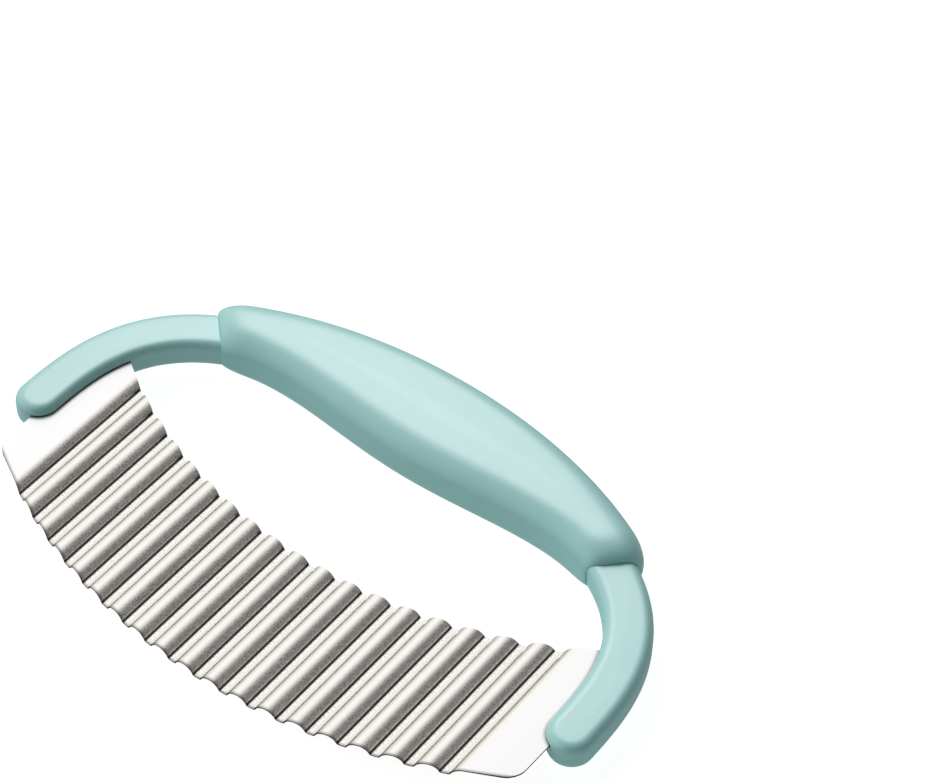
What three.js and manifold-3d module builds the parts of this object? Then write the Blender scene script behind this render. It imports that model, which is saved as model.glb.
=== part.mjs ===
// Crinkle cutter: a crescent of corrugated steel sheet, held by its two flat tabs in the arms of
// a moulded bow. A thick grip is moulded round the top of the bow.
// Millimetres. X runs along the blade, Y from the cutting edge to the grip, Z is square to the blade.

import * as THREE from 'three';
import { mergeVertices } from 'three/addons/utils/BufferGeometryUtils.js';
import Module from 'manifold-3d';

const wasm = await Module();
wasm.setup();

// Blade sheet and its waves: round ribs with flat valleys between them
const SHEET_THICKNESS = 0.6;
const WAVE_PITCH = 8;
const WAVE_CRESTS = 17; // whole crests between the two tabs
const RIB_RADIUS = 2.85; // at the middle of the sheet
const RIB_SIDE = 68; // degrees, steepest slope of a rib
const FOOT_RADIUS = 0.65; // between rib and valley, at the middle of the sheet
const BLADE_DEPTH = 43.7; // cutting edge to back edge, at the middle of the blade
const CUTTING_RADIUS = 160; // convex cutting edge, in plan
const BACK_RADIUS = 143.5; // concave back edge, in plan
const BEVEL_WIDTH = 1.6; // ground on the underside, along the cutting edge
const EDGE_THICKNESS = 0.3; // flat left at the tip of the bevel

// Flat tabs at the blade's ends, which the arms hold
const TAB_SHOWN = 7.8; // between the last crest and the arm
const TAB_INSERT = 3.6; // inside the arm
const TAB_CORNER = 3;
const TAB_HEIGHT = 1.4; // middle of the sheet, above the middle of the handle
const TAB_BELOW_TIP = 11.6; // from the arm's tip down to the cutting edge, at the tab's end

// Tongue inside the arm, with holes that the bow's plastic fills
const TONGUE_REACH = 4; // past the end of the tab
const TONGUE_LENGTH = 14;
const TONGUE_ABOVE_TIP = 17; // from the arm's tip to the tongue's middle
const TONGUE_SHOULDER = 0.3;
const LOCK_HOLE = 3;
const LOCK_SPACING = 7;

// Moulded bow: two arms and the core between them, in one piece
const ARM_WIDTH = 12.4;
const ARM_THICKNESS = 8.6;
const ARM_ROUND = 3.2; // radius along the arm's edges
const BOW_SQUARENESS = 2.8; // power of the superellipse that the bow follows

// Grip round the core of the bow, with a flat face above and below
const FINGER_GAP = 38.8; // back edge of the blade to the grip, at the middle
const GRIP_LENGTH = 129; // along the bow
const GRIP_THICKNESS = 16;
const GRIP_INNER_MIDDLE = 16; // from the bow's centre line towards the blade
const GRIP_INNER_END = 7.7;
const GRIP_OUTER_MIDDLE = 15.4; // from the bow's centre line away from the blade
const GRIP_OUTER_END = 9.8;
const GRIP_SIDE_MIDDLE = 7; // width of the rounded side beside the flat face
const GRIP_SIDE_END = 4;
const GRIP_SWELL = 1.6; // how quickly the grip narrows away from its middle
const GRIP_END_ROUND = 6;
const GRIP_LIP = 1.2; // wall of the grip where the arm comes out

const FIT = 0.3; // clearance between pieces that are moulded round each other

// Facets
const RIB_STEPS = 4; // from the crest to a rib's foot
const FOOT_STEPS = 3;
const CORNER_STEPS = 4;
const HOLE_SIDES = 16;
const BOW_STEPS = 48;
const ROUND_STEPS = 4;
const GRIP_STEPS = 24;
const SIDE_STEPS = 6;
const BOW_LENGTH_STEPS = 2000; // for measuring along the bow
const WELD = 1e-4; // points closer than this become one

// Places that follow from the sizes
const WAVE_END = (WAVE_CRESTS + 1) * WAVE_PITCH / 2;
const TAB_END = WAVE_END + TAB_SHOWN + TAB_INSERT;
const ARM_X = WAVE_END + TAB_SHOWN + ARM_WIDTH / 2;
const TIP_Y = cuttingEdge(TAB_END) + TAB_BELOW_TIP;
const FOOT_Y = TIP_Y + ARM_WIDTH / 2;
const CROWN_Y = BLADE_DEPTH + FINGER_GAP + GRIP_INNER_MIDDLE;
const TONGUE_Y = TIP_Y + TONGUE_ABOVE_TIP;

// Solids from closed geometry, and the other way round

function solid(geometry) {
  geometry.deleteAttribute('normal');
  geometry.deleteAttribute('uv');
  const merged = mergeVertices(geometry, WELD);
  return new wasm.Manifold(new wasm.Mesh({
    numProp: 3,
    vertProperties: new Float32Array(merged.attributes.position.array),
    triVerts: new Uint32Array(merged.index.array),
  }));
}

function piece(name, body, material) {
  const { vertProperties, triVerts } = body.getMesh();
  const geometry = new THREE.BufferGeometry();
  geometry.setAttribute('position', new THREE.BufferAttribute(vertProperties, 3));
  geometry.setIndex(new THREE.BufferAttribute(triVerts, 1));
  geometry.computeVertexNormals();
  const mesh = new THREE.Mesh(geometry, material);
  mesh.name = name;
  return mesh;
}

// Closed body through rings of points that run counter-clockwise seen from the last ring
function loft(rings) {
  const size = rings[0].length;
  const last = (rings.length - 1) * size;
  const index = [];
  for (let start = 0; start < last; start += size) {
    for (let j = 0; j < size; j++) {
      const here = start + j;
      const next = start + (j + 1) % size;
      index.push(here, next, next + size, here, next + size, here + size);
    }
  }
  for (let j = 1; j < size - 1; j++) {
    index.push(0, j + 1, j);
    index.push(last, last + j, last + j + 1);
  }
  const geometry = new THREE.BufferGeometry().setFromPoints(rings.flat());
  geometry.setIndex(index);
  return solid(geometry);
}

// Blade

function cuttingEdge(x) {
  return CUTTING_RADIUS - Math.sqrt(CUTTING_RADIUS ** 2 - x ** 2);
}

function backEdge(x) {
  return BLADE_DEPTH + BACK_RADIUS - Math.sqrt(BACK_RADIUS ** 2 - x ** 2);
}

// Places on the sheet's middle surface from a crest to the edge of the next flat valley
function ribSide() {
  const steepest = THREE.MathUtils.degToRad(RIB_SIDE);
  const footX = (RIB_RADIUS + FOOT_RADIUS) * Math.sin(steepest);
  const depth = (RIB_RADIUS + FOOT_RADIUS) * (1 - Math.cos(steepest));
  const places = [];
  for (let i = 0; i < RIB_STEPS; i++) {
    const slope = steepest * i / RIB_STEPS;
    places.push({ across: RIB_RADIUS * Math.sin(slope), down: RIB_RADIUS * (1 - Math.cos(slope)), slope });
  }
  for (let i = FOOT_STEPS; i >= 0; i--) {
    const slope = steepest * i / FOOT_STEPS;
    places.push({
      across: footX - FOOT_RADIUS * Math.sin(slope),
      down: depth - FOOT_RADIUS * (1 - Math.cos(slope)),
      slope,
    });
  }
  return places;
}

// Stations along the waves, each from a crest down to the valley and up to the next crest
function waveStations() {
  const falling = ribSide();
  const rising = falling.slice(1).reverse();
  const stations = [];
  const add = (x, down, angle) => stations.push({
    x, low: cuttingEdge(x), high: backEdge(x), height: TAB_HEIGHT - down, angle });
  for (let k = 0; k <= WAVE_CRESTS; k++) {
    const crest = k * WAVE_PITCH - WAVE_END;
    falling.forEach(({ across, down, slope }) => add(crest + across, down, -slope));
    rising.forEach(({ across, down, slope }) => add(crest + WAVE_PITCH - across, down, slope));
  }
  add(WAVE_END, 0, 0);
  return stations;
}

// Stations from the right end of the waves out to the end of the right tongue
function tabStations() {
  const stations = [];
  for (let i = 0; i <= CORNER_STEPS; i++) {
    const turn = Math.PI / 2 * i / CORNER_STEPS;
    const x = TAB_END - TAB_CORNER * (1 - Math.sin(turn));
    const rise = TAB_CORNER * (1 - Math.cos(turn));
    stations.push({ x, low: cuttingEdge(x) + rise, high: backEdge(x) - rise });
  }
  for (const x of [TAB_END + TONGUE_SHOULDER, TAB_END + TONGUE_REACH]) {
    stations.push({ x, low: TONGUE_Y - TONGUE_LENGTH / 2, high: TONGUE_Y + TONGUE_LENGTH / 2 });
  }
  return stations.map((station) => ({ ...station, height: TAB_HEIGHT, angle: 0 }));
}

// Section of the sheet at one station, grown on all sides by a clearance
function sheetRing({ x, low, high, height, angle }, grow) {
  const half = SHEET_THICKNESS / 2 + grow;
  const beyond = Math.abs(x) > WAVE_END ? Math.sign(x) * grow : 0;
  const point = (y, offset) => new THREE.Vector3(
    x + beyond - Math.sin(angle) * offset, y, height + Math.cos(angle) * offset);
  return [
    point(low - grow, half),
    point(low - grow, half - EDGE_THICKNESS - 2 * grow),
    point(low - grow + BEVEL_WIDTH, -half),
    point(high + grow, -half),
    point(high + grow, half),
  ];
}

function bladeSolid(grow) {
  const right = tabStations();
  const left = right.map((station) => ({ ...station, x: -station.x })).reverse();
  const stations = [...left, ...waveStations(), ...right];
  let body = loft(stations.map((station) => sheetRing(station, grow)));
  for (const side of [-1, 1]) {
    for (const step of [-1, 1]) {
      const radius = LOCK_HOLE / 2 - grow;
      const hole = new THREE.CylinderGeometry(radius, radius, ARM_THICKNESS, HOLE_SIDES);
      hole.rotateX(Math.PI / 2);
      hole.translate(side * (TAB_END + TONGUE_REACH / 2), TONGUE_Y + step * LOCK_SPACING / 2, TAB_HEIGHT);
      body = body.subtract(solid(hole));
    }
  }
  return body;
}

// Bow

// Centre line of the bow, from the foot of the left arm over the crown to the foot of the right arm
class BowLine extends THREE.Curve {
  getPoint(t) {
    const angle = Math.PI * (1 - t);
    const across = Math.cos(angle);
    const up = Math.sin(angle);
    const power = 2 / BOW_SQUARENESS;
    return new THREE.Vector2(
      ARM_X * Math.sign(across) * Math.abs(across) ** power,
      FOOT_Y + (CROWN_Y - FOOT_Y) * Math.max(up, 0) ** power);
  }
}

const bowLine = new BowLine();
bowLine.arcLengthDivisions = BOW_LENGTH_STEPS;

// Place on the centre line and the direction away from the blade, by the share of its length
function bowAt(share) {
  const tangent = bowLine.getTangentAt(share);
  return { place: bowLine.getPointAt(share), out: new THREE.Vector2(-tangent.y, tangent.x) };
}

function bowSolid(grow) {
  const half = ARM_WIDTH / 2 + grow;
  const round = ARM_ROUND + grow;
  const outer = [];
  const inner = [];
  for (let i = 1; i < BOW_STEPS; i++) {
    const { place, out } = bowAt(i / BOW_STEPS);
    outer.push(place.clone().addScaledVector(out, half));
    inner.unshift(place.clone().addScaledVector(out, -half));
  }
  const outline = new THREE.Shape();
  outline.moveTo(half - ARM_X, FOOT_Y);
  outline.absarc(-ARM_X, FOOT_Y, half, 0, Math.PI, true);
  outer.forEach((point) => outline.lineTo(point.x, point.y));
  outline.lineTo(ARM_X + half, FOOT_Y);
  outline.absarc(ARM_X, FOOT_Y, half, 0, Math.PI, true);
  inner.forEach((point) => outline.lineTo(point.x, point.y));
  const depth = ARM_THICKNESS + 2 * grow - 2 * round;
  const geometry = new THREE.ExtrudeGeometry(outline, {
    depth,
    bevelThickness: round,
    bevelSize: round,
    bevelOffset: -round,
    bevelSegments: ROUND_STEPS,
  });
  geometry.translate(0, 0, -depth / 2);
  return solid(geometry);
}

// Grip

// Section of the grip at a distance along the bow from its crown: flat above and below, with
// rounded sides. Its fullness falls from 1 to 0 where the end closes in on the arm.
function gripRing(along, fullness) {
  const { place, out } = bowAt(0.5 + along / bowLine.getLength());
  const swell = Math.cos(Math.PI * along / GRIP_LENGTH) ** GRIP_SWELL;
  const swollen = (middle, end) => THREE.MathUtils.lerp(end, middle, swell);
  const mouth = ARM_WIDTH / 2 + FIT + GRIP_LIP;
  const outer = THREE.MathUtils.lerp(mouth, swollen(GRIP_OUTER_MIDDLE, GRIP_OUTER_END), fullness);
  const inner = THREE.MathUtils.lerp(mouth, swollen(GRIP_INNER_MIDDLE, GRIP_INNER_END), fullness);
  const half = THREE.MathUtils.lerp(ARM_THICKNESS / 2 + FIT + GRIP_LIP, GRIP_THICKNESS / 2, fullness);
  const side = swollen(GRIP_SIDE_MIDDLE, GRIP_SIDE_END);
  const flatEdges = [outer - side, side - inner, side - inner, outer - side];
  const ring = [];
  flatEdges.forEach((flatEdge, quarter) => {
    const points = quarter % 2 ? SIDE_STEPS : SIDE_STEPS + 1;
    for (let i = 0; i < points; i++) {
      const turn = Math.PI / 2 * (quarter + i / SIDE_STEPS);
      const away = flatEdge + side * Math.cos(turn);
      ring.push(new THREE.Vector3(
        place.x + out.x * away, place.y + out.y * away, half * Math.sin(turn)));
    }
  });
  return ring;
}

function gripSolid() {
  const rings = [];
  const reach = GRIP_LENGTH / 2 - GRIP_END_ROUND;
  for (let i = 0; i < ROUND_STEPS; i++) {
    const turn = Math.PI / 2 * i / ROUND_STEPS;
    rings.push(gripRing(-reach - GRIP_END_ROUND * Math.cos(turn), Math.sin(turn)));
  }
  for (let i = 0; i <= GRIP_STEPS; i++) {
    rings.push(gripRing(reach * (2 * i / GRIP_STEPS - 1), 1));
  }
  for (let i = ROUND_STEPS - 1; i >= 0; i--) {
    const turn = Math.PI / 2 * i / ROUND_STEPS;
    rings.push(gripRing(reach + GRIP_END_ROUND * Math.cos(turn), Math.sin(turn)));
  }
  return loft(rings);
}

// Materials
const steel = new THREE.MeshStandardMaterial({ color: 0xd6d3ce, roughness: 0.25, metalness: 1 });
const plastic = new THREE.MeshStandardMaterial({ color: 0x93c6c2, roughness: 0.45, metalness: 0 });

// The tool, with its origin under the middle of its bounding box
const tool = new THREE.Group();
tool.add(piece('blade', bladeSolid(0), steel));
tool.add(piece('bow_frame', bowSolid(0).subtract(bladeSolid(FIT)), plastic));
tool.add(piece('grip_sleeve', gripSolid().subtract(bowSolid(FIT)), plastic.clone()));

const box = new THREE.Box3().setFromObject(tool);
const middle = box.getCenter(new THREE.Vector3());
tool.position.set(-middle.x, -middle.y, -box.min.z);

export default tool;
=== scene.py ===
import math

import bpy
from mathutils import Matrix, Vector


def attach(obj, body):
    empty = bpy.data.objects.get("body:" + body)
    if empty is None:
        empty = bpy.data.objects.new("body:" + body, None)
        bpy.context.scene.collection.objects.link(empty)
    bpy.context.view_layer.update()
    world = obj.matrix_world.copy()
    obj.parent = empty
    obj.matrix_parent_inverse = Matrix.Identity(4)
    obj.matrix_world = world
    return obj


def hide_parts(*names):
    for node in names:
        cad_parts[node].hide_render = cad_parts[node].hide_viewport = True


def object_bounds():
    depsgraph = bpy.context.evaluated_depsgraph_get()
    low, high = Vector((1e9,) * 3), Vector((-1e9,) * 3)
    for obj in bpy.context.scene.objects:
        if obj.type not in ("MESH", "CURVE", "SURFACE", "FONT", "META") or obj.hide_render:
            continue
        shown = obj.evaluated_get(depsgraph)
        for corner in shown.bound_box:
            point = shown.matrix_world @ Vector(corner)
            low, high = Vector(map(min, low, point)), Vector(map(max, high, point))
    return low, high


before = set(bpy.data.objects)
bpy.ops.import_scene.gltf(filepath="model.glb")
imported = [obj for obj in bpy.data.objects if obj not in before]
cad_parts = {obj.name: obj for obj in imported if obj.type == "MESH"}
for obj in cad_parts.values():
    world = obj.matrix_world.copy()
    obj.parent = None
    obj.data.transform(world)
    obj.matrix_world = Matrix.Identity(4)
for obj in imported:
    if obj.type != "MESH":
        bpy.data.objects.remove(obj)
cad_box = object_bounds()

# Camera: a long lens held above the front right of the tool and looking down on it, a little rolled.
# X runs along the blade, Y from the cutting edge to the grip, Z up from the floor. Lengths are in metres.
MM = 0.001
SENSOR_WIDTH_MM = 36
LENS_MM = 113.92
CAMERA_PLACE_MM = (307.61, -361.54, 580.99)
CAMERA_TURN_DEGREES = (42.2385, -1.0597, 37.6495)

camera = bpy.data.objects.new("camera", bpy.data.cameras.new("camera"))
camera.data.sensor_width = SENSOR_WIDTH_MM
camera.data.lens = LENS_MM
camera.location = [along * MM for along in CAMERA_PLACE_MM]
camera.rotation_euler = [math.radians(angle) for angle in CAMERA_TURN_DEGREES]
bpy.context.scene.collection.objects.link(camera)
bpy.context.scene.camera = camera
bpy.context.scene.view_settings.view_transform = "Standard"


# Studio: white paper on the table that glows and lights the tool from below, a soft box up behind the left
# of the tool, low light from the left and a ring of light along the horizon. The room that the steel mirrors
# is bright overhead and to the left, and dark to the right. The soft box has a twin that gives the plastic
# more sheen and no other light.
def add(tree, kind, inputs=(), **settings):
    """A node with its settings, its values and the links that come into it.

    Inputs go by name or number. A Mix node has its share at 0, its two numbers at 2 and 3, and its two
    colours at 6 and 7.
    """
    made = tree.nodes.new(kind)
    for name, value in settings.items():
        setattr(made, name, value)
    for socket, value in dict(inputs).items():
        if isinstance(value, bpy.types.NodeSocket):
            tree.links.new(value, made.inputs[socket])
        else:
            made.inputs[socket].default_value = value
    return made


def linear(colour):
    """An sRGB hex colour as linear red, green, blue and alpha."""
    parts = [int(colour[i:i + 2], 16) / 255 for i in (1, 3, 5)]
    return [c / 12.92 if c <= 0.04045 else ((c + 0.055) / 1.055) ** 2.4 for c in parts] + [1.0]


PAPER_SIZE = 6.0
PAPER_WHITE = "#b4b4b4"
PAPER_GLOW = 0.52
PAPER_MIRRORED = 0.2
PAPER_SEEN = 0.9
BACKDROP_WHITE = "#ffffff"
RING = 1.15
RING_NARROW = 3
FILL = 3.3
FILL_NARROW = 4
FILL_TOWARDS = Vector((-0.906, 0, 0.423))
SOFT_BOX_AWAY = 1.3
SOFT_BOX_SIZE = 0.6
SOFT_BOX_WATTS = 3.6
SHEEN_WATTS = 5.4
SOFT_BOX_TOWARDS = Vector((-0.41, 0.50, 0.763))
ROOM_BY_DEGREES = ((0, 0.30), (20, 0.30), (45, 0.26), (58, 0.30), (68, 0.41), (78, 0.67), (88, 0.98),
                   (98, 1.28), (108, 1.50), (118, 1.62), (132, 1.60), (155, 1.42), (178, 1.05))

bpy.ops.object.select_all(action="DESELECT")
bpy.ops.mesh.primitive_plane_add(size=PAPER_SIZE)
paper = bpy.context.object
paper.name = "paper"

# White paper that glows: matt, and to the camera pure white with only a faint shadow of the tool. Its glow
# throws more light on matt surfaces than mirrors see in it.
paper_white = bpy.data.materials.new("white paper")
paper_white.use_nodes = True
tree = paper_white.node_tree
tree.nodes.clear()
seen = add(tree, "ShaderNodeLightPath")
around = add(tree, "ShaderNodeMix", {
    0: seen.outputs["Is Diffuse Ray"], 2: PAPER_MIRRORED, 3: PAPER_GLOW})
lift = add(tree, "ShaderNodeMix", {
    0: seen.outputs["Is Camera Ray"], 2: around.outputs[0], 3: PAPER_SEEN})
glow = add(tree, "ShaderNodeEmission", {"Strength": lift.outputs[0]})
matt = add(tree, "ShaderNodeBsdfDiffuse", {"Color": linear(PAPER_WHITE)})
both = add(tree, "ShaderNodeAddShader", {0: matt.outputs[0], 1: glow.outputs[0]})
add(tree, "ShaderNodeOutputMaterial", {"Surface": both.outputs[0]})
paper.data.materials.append(paper_white)


def set_greys(stops, levels):
    """Fills the stops of a colour ramp with greys, each by its place from 0 to 1 and its level."""
    while len(stops) < len(levels):
        stops.new(1.0)
    for stop, (at, level) in zip(stops, levels):
        stop.position = at
        stop.color = (level, level, level, 1)


# The room by the angle round the tool's Y axis, from the right over the top to the left, for mirrors alone.
world = bpy.data.worlds.new("studio")
world.use_nodes = True
bpy.context.scene.world = world
tree = world.node_tree
tree.nodes.clear()
towards = add(tree, "ShaderNodeTexCoord")
axes = add(tree, "ShaderNodeSeparateXYZ", {0: towards.outputs["Generated"]})
turn = add(tree, "ShaderNodeMath", {0: axes.outputs["Z"], 1: axes.outputs["X"]}, operation="ARCTAN2")
share = add(tree, "ShaderNodeMapRange", {
    "Value": turn.outputs[0], "From Min": 0.0, "From Max": math.pi})
room = add(tree, "ShaderNodeValToRGB", {0: share.outputs[0]})
set_greys(room.color_ramp.elements, [(degrees / 180, light) for degrees, light in ROOM_BY_DEGREES])
mirrored = add(tree, "ShaderNodeBackground", {"Color": room.outputs[0]})

# The low light from the left and the ring along the horizon, for matt surfaces.
facing = add(tree, "ShaderNodeVectorMath", {
    0: towards.outputs["Generated"], 1: FILL_TOWARDS.normalized()}, operation="DOT_PRODUCT")
ahead = add(tree, "ShaderNodeMath", {0: facing.outputs["Value"], 1: 0.0}, operation="MAXIMUM")
lobe = add(tree, "ShaderNodeMath", {0: ahead.outputs[0], 1: FILL_NARROW}, operation="POWER")
from_left = add(tree, "ShaderNodeMath", {0: lobe.outputs[0], 1: FILL}, operation="MULTIPLY")
low = add(tree, "ShaderNodeMath", {0: 1.0, 1: axes.outputs["Z"]}, operation="SUBTRACT")
lower = add(tree, "ShaderNodeMath", {0: low.outputs[0], 1: RING_NARROW}, operation="POWER")
ring = add(tree, "ShaderNodeMath", {0: lower.outputs[0], 1: RING}, operation="MULTIPLY")
total = add(tree, "ShaderNodeMath", {0: from_left.outputs[0], 1: ring.outputs[0]})
fill = add(tree, "ShaderNodeBackground", {"Strength": total.outputs[0]})

backdrop = add(tree, "ShaderNodeBackground", {"Color": linear(BACKDROP_WHITE)})
seen = add(tree, "ShaderNodeLightPath")
inner = add(tree, "ShaderNodeMixShader", {
    0: seen.outputs["Is Glossy Ray"], 1: fill.outputs[0], 2: mirrored.outputs[0]})
outer = add(tree, "ShaderNodeMixShader", {
    0: seen.outputs["Is Camera Ray"], 1: inner.outputs[0], 2: backdrop.outputs[0]})
add(tree, "ShaderNodeOutputWorld", {"Surface": outer.outputs[0]})

# Both lamps light the plastic alone: in the steel they would show as a bright square.
plastic_pieces = bpy.data.collections.new("plastic_pieces")
for name, watts, lights_all in (("soft_box", SOFT_BOX_WATTS, True), ("sheen", SHEEN_WATTS, False)):
    lamp = bpy.data.objects.new(name, bpy.data.lights.new(name, "AREA"))
    lamp.data.size = SOFT_BOX_SIZE
    lamp.data.energy = watts
    lamp.location = SOFT_BOX_TOWARDS.normalized() * SOFT_BOX_AWAY
    lamp.rotation_euler = SOFT_BOX_TOWARDS.to_track_quat("Z", "Y").to_euler()
    lamp.visible_diffuse = lights_all
    bpy.context.scene.collection.objects.link(lamp)
    lamp.light_linking.receiver_collection = plastic_pieces


# Blade: a crescent of stainless sheet pressed into round ribs with narrow, nearly flat valleys, its two ends
# left flat as tabs, with a tongue on each that is locked inside the arm by plastic through two holes. The
# convex edge is ground from below.
SHEET = 0.6 * MM
PITCH = 8 * MM
CRESTS = 17
BLADE_DEPTH = 43.7 * MM
CUTTING_RADIUS = 160 * MM
BACK_RADIUS = 143.5 * MM
GRIND_WIDTH = 1.6 * MM
EDGE_LEFT = 0.3 * MM
TAB_HEIGHT = 1.4 * MM
TAB_SHOWN = 7.8 * MM
TAB_INSERT = 3.6 * MM
TAB_CORNER = 3 * MM
TONGUE_REACH = 4 * MM
TONGUE_LENGTH = 14 * MM
TONGUE_SHOULDER = 0.3 * MM
LOCK_HOLE = 3 * MM
LOCK_SPACING = 7 * MM
LOCK_PIN_LENGTH = 4 * SHEET
LOCK_PIN_SIDES = 48
ARM_TIP_ABOVE_EDGE = 11.6 * MM
TONGUE_ABOVE_TIP = 17 * MM
RIB_RADIUS = 3.15 * MM
FOOT_RADIUS = 0.35 * MM
RIB_SIDE = math.radians(68)
VALLEY_SIDE = math.radians(5)
CORNER_STEPS = 7
RIB_STEPS = 16
FOOT_STEPS = 6
VALLEY_STEPS = 3
BLADE_ROWS = 9
SMOOTH_BELOW = math.radians(35)

EDGE_Y = cad_box[0].y
MIDDLE_Z = (cad_box[0].z + cad_box[1].z) / 2
WAVE_END = (CRESTS + 1) * PITCH / 2
TAB_END = WAVE_END + TAB_SHOWN + TAB_INSERT


def cutting_edge(x):
    return EDGE_Y + CUTTING_RADIUS - math.sqrt(CUTTING_RADIUS ** 2 - x ** 2)


def back_edge(x):
    return EDGE_Y + BLADE_DEPTH + BACK_RADIUS - math.sqrt(BACK_RADIUS ** 2 - x ** 2)


TIP_Y = cutting_edge(TAB_END) + ARM_TIP_ABOVE_EDGE
TONGUE_Y = TIP_Y + TONGUE_ABOVE_TIP


def half_wave():
    """Places across and down the upper face from a crest to the next valley: rib, foot and valley arcs."""
    used = RIB_RADIUS * math.sin(RIB_SIDE) + FOOT_RADIUS * (math.sin(RIB_SIDE) - math.sin(VALLEY_SIDE))
    valley_radius = (PITCH / 2 - used) / math.sin(VALLEY_SIDE)
    arcs = ((RIB_RADIUS, 0, RIB_SIDE, RIB_STEPS), (FOOT_RADIUS, RIB_SIDE, VALLEY_SIDE, FOOT_STEPS),
            (valley_radius, VALLEY_SIDE, 0, VALLEY_STEPS))
    across, down = 0.0, 0.0
    places = [(0.0, 0.0)]
    for radius, start, end, steps in arcs:
        bend = math.copysign(1, end - start)
        for i in range(1, steps + 1):
            angle = start + (end - start) * i / steps
            places.append((across + bend * radius * (math.sin(angle) - math.sin(start)),
                           down + bend * radius * (math.cos(start) - math.cos(angle))))
        across, down = places[-1]
    return places


def blade_stations():
    """Columns of the sheet from the left tongue to the right one: place, low edge, high edge, height."""
    crest = MIDDLE_Z + TAB_HEIGHT + SHEET / 2
    falling = half_wave()
    wave = falling[:-1] + [(PITCH - across, down) for across, down in reversed(falling)][:-1]
    columns = []
    for k in range(CRESTS + 1):
        for across, down in wave:
            x = -WAVE_END + k * PITCH + across
            columns.append((x, cutting_edge(x), back_edge(x), crest - down))
    tab = [(WAVE_END, cutting_edge(WAVE_END), back_edge(WAVE_END), crest)]
    for i in range(CORNER_STEPS + 1):
        angle = math.pi / 2 * i / CORNER_STEPS
        x = TAB_END - TAB_CORNER * (1 - math.sin(angle))
        rise = TAB_CORNER * (1 - math.cos(angle))
        tab.append((x, cutting_edge(x) + rise, back_edge(x) - rise, crest))
    for x in (TAB_END + TONGUE_SHOULDER, TAB_END + TONGUE_REACH):
        tab.append((x, TONGUE_Y - TONGUE_LENGTH / 2, TONGUE_Y + TONGUE_LENGTH / 2, crest))
    return [(-x, low, high, z) for x, low, high, z in reversed(tab[1:])] + columns + tab


def use_only(piece):
    bpy.ops.object.select_all(action="DESELECT")
    piece.select_set(True)
    bpy.context.view_layer.objects.active = piece


def apply_modifier(piece, kind, **settings):
    use_only(piece)
    made = piece.modifiers.new(kind.lower(), kind)
    for name, value in settings.items():
        setattr(made, name, value)
    bpy.ops.object.modifier_apply(modifier=made.name)


def cut_away(piece, tool):
    """Takes a solid out of a piece, and removes the solid."""
    apply_modifier(piece, "BOOLEAN", object=tool, operation="DIFFERENCE", solver="EXACT")
    bpy.data.objects.remove(tool)


def lock_pin(side, step, radius):
    """A pin through a lock hole: side -1 is the left tongue, step -1 the hole nearer the cutting edge."""
    bpy.ops.mesh.primitive_cylinder_add(
        vertices=LOCK_PIN_SIDES, radius=radius, depth=LOCK_PIN_LENGTH,
        location=(side * (TAB_END + TONGUE_REACH / 2), TONGUE_Y + step * LOCK_SPACING / 2,
                  MIDDLE_Z + TAB_HEIGHT))
    return bpy.context.object


# A flat grid gives the sheet its mesh, and each point moves to its column and row: row 0 is the cutting
# edge, row 1 is where the grind starts, and the others share the rest of the depth.
columns = blade_stations()
last_column = len(columns) - 1
last_row = BLADE_ROWS - 1
bpy.ops.object.select_all(action="DESELECT")
bpy.ops.mesh.primitive_grid_add(x_subdivisions=last_column, y_subdivisions=last_row, size=1)
blade = bpy.context.object
blade.name = "corrugated_blade"
grid_place = [(round((vertex.co.x + 0.5) * last_column), round((vertex.co.y + 0.5) * last_row))
              for vertex in blade.data.vertices]
for vertex, (column, row) in zip(blade.data.vertices, grid_place):
    x, low, high, z = columns[column]
    y = low if row == 0 else low + GRIND_WIDTH + (high - low - GRIND_WIDTH) * (row - 1) / (last_row - 1)
    vertex.co = (x, y, z)

# Polished stainless steel, pressed after it was polished: soft bands of mirrored light along each rib, and in
# its colour painted light and shade: a painted highlight at the left foot, a painted dark line at the right
# foot and painted shade on the right flank. Rubbed grain on the right flank is drawn coarser than real to
# show. The tabs are plain and near white, with painted shade where they meet the arms.
STEEL_ROUGHNESS = 0.32
STEEL_WARMTH = "#fffbf5"
# Painted light and shade by millimetres from the crest: a painted highlight at the left foot, a painted dark
# line at the right foot and painted shade on the right flank.
PAINTED_SHADING_BY_MM = ((-3.9, 0.64), (-3.3, 0.54), (-3.1, 1.0), (-2.1, 1.0), (-1.5, 0.65), (2.3, 0.63),
              (2.45, 0.43), (2.70, 0.35), (2.76, 0.05), (3.08, 0.04), (3.18, 0.35), (3.4, 0.67))
NOISE_LOW = 0.3
NOISE_HIGH = 0.7
FINE_DETAIL = 2.0
GRAIN_WIDTH = 0.3 * MM
GRAIN_LENGTH = 0.5 * MM
GRAIN_DARK = 0.6
GRAIN_LIGHT = 1.4
GRAIN_STARTS = 0.4 * MM
GRAIN_FULL = 1.6 * MM
TAB_TONE = 0.65
CONTACT_SHADE = 1.2 * MM
CONTACT_POWER = 2.0
EDGE_SHADE = 0.9 * MM
EDGE_TONE = 0.3

steel = bpy.data.materials.new("polished stainless steel")
steel.use_nodes = True
tree = steel.node_tree
surface = tree.nodes["Principled BSDF"]
surface.inputs["Metallic"].default_value = 1.0
surface.inputs["Roughness"].default_value = STEEL_ROUGHNESS
place = add(tree, "ShaderNodeTexCoord")
axes = add(tree, "ShaderNodeSeparateXYZ", {0: place.outputs["Object"]})
from_crest = add(tree, "ShaderNodeMath", {
    0: axes.outputs["X"], 1: PITCH / 2, 2: -PITCH / 2}, operation="WRAP")
across = add(tree, "ShaderNodeMapRange", {
    "Value": from_crest.outputs[0], "From Min": -PITCH / 2, "From Max": PITCH / 2})
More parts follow.
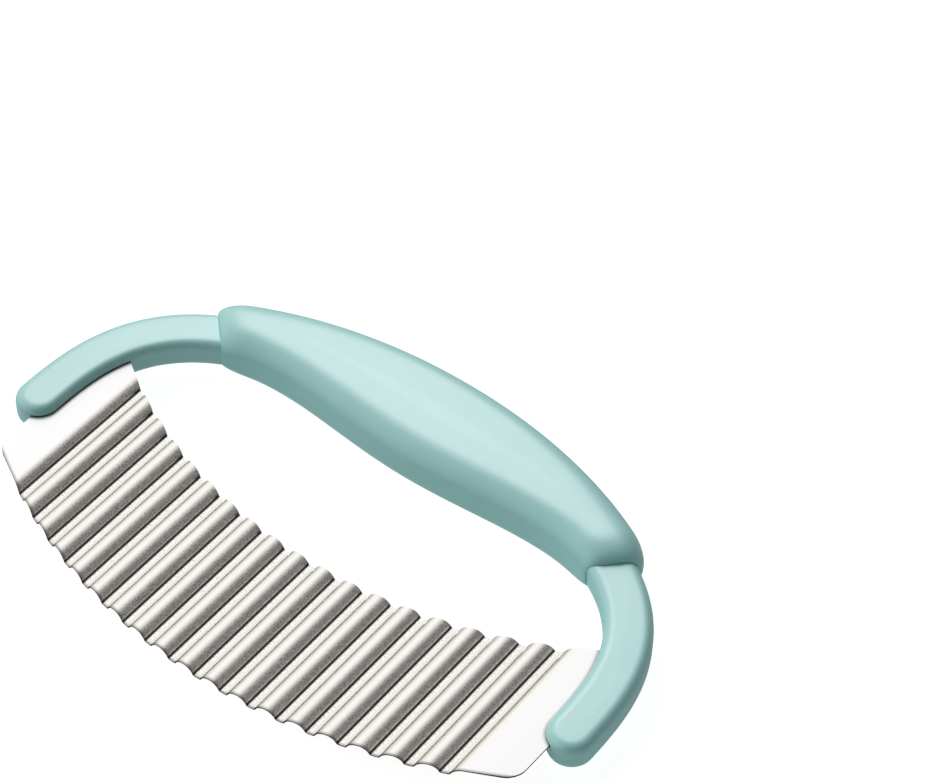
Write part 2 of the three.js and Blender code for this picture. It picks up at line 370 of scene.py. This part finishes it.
# The steel's colour across each rib carries painted light and shade.
painted_shading = add(tree, "ShaderNodeValToRGB", {0: across.outputs[0]})
set_greys(painted_shading.color_ramp.elements, [(0.5 + at * MM / PITCH, level) for at, level in PAINTED_SHADING_BY_MM])
along = add(tree, "ShaderNodeMapping", {
    "Vector": place.outputs["Object"],
    "Scale": (1 / GRAIN_WIDTH, 1 / GRAIN_LENGTH, 1 / GRAIN_WIDTH)})
grain = add(tree, "ShaderNodeTexNoise", {"Vector": along.outputs[0], "Scale": 1.0, "Detail": FINE_DETAIL})
speck = add(tree, "ShaderNodeMapRange", {
    "Value": grain.outputs["Fac"], "From Min": NOISE_LOW, "From Max": NOISE_HIGH,
    "To Min": GRAIN_DARK, "To Max": GRAIN_LIGHT})
flank = add(tree, "ShaderNodeMapRange", {
    "Value": from_crest.outputs[0], "From Min": GRAIN_STARTS, "From Max": GRAIN_FULL})
grained = add(tree, "ShaderNodeMix", {0: flank.outputs[0], 2: 1.0, 3: speck.outputs[0]})
wave = add(tree, "ShaderNodeMath", {0: painted_shading.outputs[0], 1: grained.outputs[0]}, operation="MULTIPLY")
from_middle = add(tree, "ShaderNodeMath", {0: axes.outputs["X"]}, operation="ABSOLUTE")
waved = add(tree, "ShaderNodeMath", {0: from_middle.outputs[0], 1: WAVE_END}, operation="LESS_THAN")
# Painted shade: ambient occlusion darkens the tabs' colour where they meet the arms.
open_sky = add(tree, "ShaderNodeAmbientOcclusion", {"Distance": CONTACT_SHADE})
painted_arm_shade = add(tree, "ShaderNodeMath", {0: open_sky.outputs["AO"], 1: CONTACT_POWER}, operation="POWER")
tab = add(tree, "ShaderNodeMath", {0: painted_arm_shade.outputs[0], 1: TAB_TONE}, operation="MULTIPLY")
polished = add(tree, "ShaderNodeMix", {0: waved.outputs[0], 2: tab.outputs[0], 3: wave.outputs[0]})
hub = add(tree, "ShaderNodeVectorMath", {
    0: place.outputs["Object"], 1: (0, EDGE_Y + CUTTING_RADIUS, 0)}, operation="SUBTRACT")
in_plan = add(tree, "ShaderNodeVectorMath", {0: hub.outputs[0], 1: (1, 1, 0)}, operation="MULTIPLY")
from_hub = add(tree, "ShaderNodeVectorMath", {0: in_plan.outputs[0]}, operation="LENGTH")
near_edge = add(tree, "ShaderNodeMapRange", {
    "Value": from_hub.outputs["Value"], "From Min": CUTTING_RADIUS - EDGE_SHADE,
    "From Max": CUTTING_RADIUS, "To Min": 1.0, "To Max": EDGE_TONE})
shade = add(tree, "ShaderNodeMath", {
    0: polished.outputs[0], 1: near_edge.outputs[0]}, operation="MULTIPLY")
tint = add(tree, "ShaderNodeMix", {
    0: waved.outputs[0], 6: shade.outputs[0], 7: linear(STEEL_WARMTH)},
    data_type="RGBA", blend_type="MULTIPLY")
tree.links.new(tint.outputs[2], surface.inputs["Base Color"])
blade.data.materials.append(steel)

# Sheared and ground steel: the bare rim of the sheet, dull beside the polished faces. Its near black colour
# is partly painted shade, so that it draws a thin line round the blade. Its scratches are drawn coarser than
# real.
SCRATCH_WIDTH = 0.25 * MM
RIM_DARK = "#211f1e"
RIM_LIGHT = "#3a3835"
RIM_SMOOTHEST = 0.38
RIM_ROUGHEST = 0.52

ground_steel = bpy.data.materials.new("sheared and ground steel")
ground_steel.use_nodes = True
tree = ground_steel.node_tree
surface = tree.nodes["Principled BSDF"]
surface.inputs["Metallic"].default_value = 1.0
place = add(tree, "ShaderNodeTexCoord")
scratch = add(tree, "ShaderNodeTexNoise", {
    "Vector": place.outputs["Object"], "Scale": 1 / SCRATCH_WIDTH, "Detail": FINE_DETAIL})
colour = add(tree, "ShaderNodeMix", {
    0: scratch.outputs["Fac"], 6: linear(RIM_DARK), 7: linear(RIM_LIGHT)}, data_type="RGBA")
rough = add(tree, "ShaderNodeMapRange", {
    "Value": scratch.outputs["Fac"], "From Min": NOISE_LOW, "From Max": NOISE_HIGH,
    "To Min": RIM_SMOOTHEST, "To Max": RIM_ROUGHEST})
tree.links.new(colour.outputs[2], surface.inputs["Base Color"])
tree.links.new(rough.outputs[0], surface.inputs["Roughness"])
blade.data.materials.append(ground_steel)

# The sheet gets its thickness downwards, then the edge is ground: its lower corner moves up to the upper one.
apply_modifier(blade, "SOLIDIFY", thickness=SHEET, offset=-1, use_even_offset=True,
               use_quality_normals=True, material_offset_rim=1)
upper_count = len(grid_place)
for i, (column, row) in enumerate(grid_place):
    if row == 0 and abs(columns[column][0]) < TAB_END - TAB_CORNER:
        one, other = blade.data.vertices[i], blade.data.vertices[i + upper_count]
        top, under = (one, other) if one.co.z > other.co.z else (other, one)
        under.co = top.co.lerp(under.co, EDGE_LEFT / SHEET)
for side in (-1, 1):
    for step in (-1, 1):
        cut_away(blade, lock_pin(side, step, LOCK_HOLE / 2))

use_only(blade)
bpy.ops.object.shade_smooth_by_angle(angle=SMOOTH_BELOW)
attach(blade, "root")
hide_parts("blade")


# Bow: the two arms and the core that joins them, one moulding in aqua polypropylene with flat faces,
# rounded edges and half-round tips. It is moulded round the blade's tabs.
ARM_WIDTH = 12.4 * MM
ARM_THICKNESS = 8.6 * MM
ARM_ROUND = 3.2 * MM
ARM_X = WAVE_END + TAB_SHOWN + ARM_WIDTH / 2
FOOT_Y = TIP_Y + ARM_WIDTH / 2
CROWN_ABOVE_EDGE = 98.5 * MM
CROWN_Y = EDGE_Y + CROWN_ABOVE_EDGE
BOW_SQUARENESS = 2.8
BOW_SAMPLES = 4000
BOW_STEPS = 120
HEADING_SAMPLES = 2
TIP_STEPS = 24
ROUND_STEPS = 10
ROUND_FULLNESS = 0.6
MOULDED_GAP = 0.08 * MM
SLOT_GAP = 0.3 * MM


def bow_line():
    """Places on the bow's centre line and the length run to each, from the left foot to the right one."""
    power = 2 / BOW_SQUARENESS
    places = []
    for i in range(BOW_SAMPLES + 1):
        angle = math.pi * (1 - i / BOW_SAMPLES)
        across = math.cos(angle)
        up = max(math.sin(angle), 0)
        places.append(Vector((ARM_X * math.copysign(abs(across) ** power, across),
                              FOOT_Y + (CROWN_Y - FOOT_Y) * up ** power)))
    run = [0.0]
    for before, after in zip(places, places[1:]):
        run.append(run[-1] + (after - before).length)
    return places, run


bow_places, bow_run = bow_line()
BOW_LENGTH = bow_run[-1]


def bow_at(distance):
    """Place on the centre line and the direction away from the blade, by the length run to it."""
    low, high = 0, BOW_SAMPLES
    while high - low > 1:
        half = (low + high) // 2
        low, high = (half, high) if bow_run[half] <= distance else (low, half)
    part = (distance - bow_run[low]) / (bow_run[high] - bow_run[low])
    before = bow_places[max(low - HEADING_SAMPLES, 0)]
    after = bow_places[min(high + HEADING_SAMPLES, BOW_SAMPLES)]
    heading = (after - before).normalized()
    return bow_places[low].lerp(bow_places[high], part), Vector((-heading.y, heading.x))


def slab(name, outline, bottom, depth):
    """An outline raised to a solid of even depth."""
    bpy.ops.object.select_all(action="DESELECT")
    bpy.ops.mesh.primitive_circle_add(vertices=len(outline), fill_type="NGON")
    solid = bpy.context.object
    solid.name = name
    for vertex, place in zip(solid.data.vertices, outline):
        vertex.co = (place.x, place.y, bottom)
    bpy.ops.object.mode_set(mode="EDIT")
    bpy.ops.mesh.select_all(action="SELECT")
    bpy.ops.mesh.extrude_region_move(TRANSFORM_OT_translate={"value": (0, 0, depth)})
    bpy.ops.mesh.select_all(action="SELECT")
    bpy.ops.mesh.normals_make_consistent(inside=False)
    bpy.ops.mesh.select_mode(type="EDGE")
    bpy.ops.mesh.select_all(action="DESELECT")
    bpy.ops.object.mode_set(mode="OBJECT")
    return solid


def bow_body(name, gap):
    """The bow's solid, grown on all sides by a gap: its outline raised to a slab, with rounded edges."""
    half = ARM_WIDTH / 2 + gap

    def tip(x):
        angles = [math.pi * i / TIP_STEPS for i in range(TIP_STEPS + 1)]
        return [Vector((x + half * math.cos(angle), FOOT_Y - half * math.sin(angle))) for angle in angles]

    sides = [bow_at(BOW_LENGTH * i / BOW_STEPS) for i in range(1, BOW_STEPS)]
    outline = tip(-ARM_X) + [place + out * half for place, out in sides]
    outline += tip(ARM_X) + [place - out * half for place, out in reversed(sides)]
    depth = ARM_THICKNESS + 2 * gap
    body = slab(name, outline, MIDDLE_Z - depth / 2, depth)
    for edge in body.data.edges:
        ends = [body.data.vertices[i].co.z for i in edge.vertices]
        edge.select = abs(ends[0] - ends[1]) < depth / 2
    bpy.ops.object.mode_set(mode="EDIT")
    bpy.ops.mesh.bevel(offset=ARM_ROUND + gap, segments=ROUND_STEPS, profile=ROUND_FULLNESS,
                       clamp_overlap=False)
    bpy.ops.object.mode_set(mode="OBJECT")
    return body


# Each arm has a slot for its tab and tongue, with two plastic pins left standing in the lock holes.
bow = bow_body("bow", 0)
for side in (-1, 1):
    tab_columns = [column for column in columns if side * column[0] >= WAVE_END]
    rim = [Vector((x + side * SLOT_GAP, low - SLOT_GAP)) for x, low, high, z in tab_columns]
    rim += [Vector((x + side * SLOT_GAP, high + SLOT_GAP)) for x, low, high, z in reversed(tab_columns)]
    depth = SHEET + 2 * SLOT_GAP
    slot = slab("slot", rim, MIDDLE_Z + TAB_HEIGHT - depth / 2, depth)
    for step in (-1, 1):
        cut_away(slot, lock_pin(side, step, LOCK_HOLE / 2 - SLOT_GAP))
    cut_away(bow, slot)

# Moulded polypropylene: opaque aqua with a broad satin sheen from the fine texture of the mould, and faint
# clouds where the melt flowed. The texture is drawn coarser than real, so that it shows.
PLASTIC_IOR = 1.6
PLASTIC_GLOSS = 1.0
FLOW_WIDTH = 9 * MM
FLOW_DETAIL = 3.0
FLOW_DARK = "#88c6c3"
FLOW_LIGHT = "#90ccc9"
SATIN_WIDTH = 0.4 * MM
SATIN_DEPTH = 0.002 * MM
SATIN_SMOOTHEST = 0.41
SATIN_ROUGHEST = 0.47

aqua = bpy.data.materials.new("moulded polypropylene")
aqua.use_nodes = True
tree = aqua.node_tree
surface = tree.nodes["Principled BSDF"]
surface.inputs["Specular IOR Level"].default_value = PLASTIC_GLOSS
surface.inputs["IOR"].default_value = PLASTIC_IOR
place = add(tree, "ShaderNodeTexCoord")
flow = add(tree, "ShaderNodeTexNoise", {
    "Vector": place.outputs["Object"], "Scale": 1 / FLOW_WIDTH, "Detail": FLOW_DETAIL})
colour = add(tree, "ShaderNodeMix", {
    0: flow.outputs["Fac"], 6: linear(FLOW_DARK), 7: linear(FLOW_LIGHT)}, data_type="RGBA")
satin = add(tree, "ShaderNodeTexNoise", {
    "Vector": place.outputs["Object"], "Scale": 1 / SATIN_WIDTH, "Detail": FINE_DETAIL})
rough = add(tree, "ShaderNodeMapRange", {
    "Value": satin.outputs["Fac"], "From Min": NOISE_LOW, "From Max": NOISE_HIGH,
    "To Min": SATIN_SMOOTHEST, "To Max": SATIN_ROUGHEST})
uneven = add(tree, "ShaderNodeBump", {"Height": satin.outputs["Fac"], "Distance": SATIN_DEPTH})
tree.links.new(colour.outputs[2], surface.inputs["Base Color"])
tree.links.new(rough.outputs[0], surface.inputs["Roughness"])
tree.links.new(uneven.outputs[0], surface.inputs["Normal"])
bow.data.materials.append(aqua)

use_only(bow)
bpy.ops.object.shade_smooth_by_angle(angle=SMOOTH_BELOW)
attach(bow, "root")
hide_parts("bow_frame")
plastic_pieces.objects.link(bow)


# Grip: a second shot of the same plastic round the core, thick enough to fill the palm. Flat above and
# below, round at the sides, widest in the middle, with rounded ends where the arms come out.
GRIP_LENGTH = 132 * MM
GRIP_THICKNESS = 16 * MM
GRIP_INNER_MIDDLE = 15.8 * MM
GRIP_INNER_END = 7.6 * MM
GRIP_OUTER_MIDDLE = 15.2 * MM
GRIP_OUTER_END = 10 * MM
GRIP_INNER_RUN_MIDDLE = 8.8 * MM
GRIP_INNER_RUN_END = 7.6 * MM
GRIP_OUTER_RUN_MIDDLE = 6.5 * MM
GRIP_OUTER_RUN_END = 7.5 * MM
GRIP_SWELL = 1.6
GRIP_SIDE_SQUARENESS = 2.4
GRIP_END_ROUND = 8 * MM
GRIP_END_SLANT = 0.25
GRIP_END_SLANT_POWER = 3
GRIP_LIP = 0.5 * MM
FACET_TIP = 26 * MM
FACET_TIP_OUT = 2.5 * MM
FACET_TIP_POWER = 2
GRIP_STEPS = 72
END_STEPS = 10
SIDE_STEPS = 14
WELD = 0.001 * MM


def mix(start, end, share):
    return start + (end - start) * share


def bulge(part):
    """A sine or cosine that makes the rounded side a little fuller than an ellipse."""
    return math.copysign(abs(part) ** (2 / GRIP_SIDE_SQUARENESS), part)


def grip_ring(along, fullness):
    """Section of the grip by its distance from the crown. It closes in on the arm as fullness falls to 0."""
    place, out = bow_at(BOW_LENGTH / 2 + along)
    swell = max(math.cos(math.pi * along / GRIP_LENGTH), 0) ** GRIP_SWELL
    mouth = ARM_WIDTH / 2 + GRIP_LIP
    full_outer = mix(GRIP_OUTER_END, GRIP_OUTER_MIDDLE, swell)
    full_inner = mix(GRIP_INNER_END, GRIP_INNER_MIDDLE, swell)
    outer = mix(mouth, full_outer, fullness)
    inner = mix(mouth, full_inner, fullness)
    half = mix(ARM_THICKNESS / 2 + GRIP_LIP, GRIP_THICKNESS / 2, fullness)
    # The flat faces run out to a tip at each end: the rounded sides there meet towards the outer edge.
    tip = max(0, 1 - (GRIP_LENGTH / 2 - abs(along)) / FACET_TIP) ** FACET_TIP_POWER
    inner_run = mix(mix(GRIP_INNER_RUN_END, GRIP_INNER_RUN_MIDDLE, swell), full_inner + FACET_TIP_OUT, tip)
    outer_run = mix(mix(GRIP_OUTER_RUN_END, GRIP_OUTER_RUN_MIDDLE, swell), full_outer - FACET_TIP_OUT, tip)
    inner_run *= inner / full_inner
    outer_run *= outer / full_outer
    slant = GRIP_END_SLANT * (2 * along / GRIP_LENGTH) ** GRIP_END_SLANT_POWER
    ring = []
    for quarter, run in enumerate((outer_run, inner_run, inner_run, outer_run)):
        flat_edge = run - inner if quarter in (1, 2) else outer - run
        for i in range(SIDE_STEPS + 1 - quarter % 2):
            angle = math.pi / 2 * (quarter + i / SIDE_STEPS)
            away = flat_edge + run * bulge(math.cos(angle))
            ring.append((place.x + out.x * away + out.y * slant * away,
                         place.y + out.y * away - out.x * slant * away,
                         MIDDLE_Z + half * bulge(math.sin(angle))))
    return ring


# A flat grid is rolled up into the rings, its seam is welded and its two ends are closed. Then the bow's
# own form is taken out of it.
reach = GRIP_LENGTH / 2 - GRIP_END_ROUND
stations = []
for i in range(END_STEPS):
    angle = math.pi / 2 * i / END_STEPS
    stations.append((-reach - GRIP_END_ROUND * math.cos(angle), math.sin(angle)))
stations += [(reach * (2 * i / GRIP_STEPS - 1), 1.0) for i in range(GRIP_STEPS + 1)]
stations += [(-along, fullness) for along, fullness in reversed(stations[:END_STEPS])]
rings = [grip_ring(along, fullness) for along, fullness in stations]
last_ring = len(rings) - 1
ring_size = len(rings[0])
bpy.ops.object.select_all(action="DESELECT")
bpy.ops.mesh.primitive_grid_add(x_subdivisions=last_ring, y_subdivisions=ring_size, size=1)
grip = bpy.context.object
grip.name = "grip"
for vertex in grip.data.vertices:
    ring = rings[round((vertex.co.x + 0.5) * last_ring)]
    vertex.co = ring[round((vertex.co.y + 0.5) * ring_size) % ring_size]
bpy.ops.object.mode_set(mode="EDIT")
bpy.ops.mesh.select_all(action="SELECT")
bpy.ops.mesh.remove_doubles(threshold=WELD)
bpy.ops.mesh.select_all(action="DESELECT")
bpy.ops.mesh.select_mode(type="EDGE")
bpy.ops.mesh.select_non_manifold()
bpy.ops.mesh.edge_face_add()
bpy.ops.mesh.select_all(action="SELECT")
bpy.ops.mesh.normals_make_consistent(inside=False)
bpy.ops.object.mode_set(mode="OBJECT")
cut_away(grip, bow_body("core", MOULDED_GAP))
grip.data.materials.append(aqua)

use_only(grip)
bpy.ops.object.shade_smooth_by_angle(angle=SMOOTH_BELOW)
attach(grip, "root")
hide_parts("grip_sleeve")
plastic_pieces.objects.link(grip)
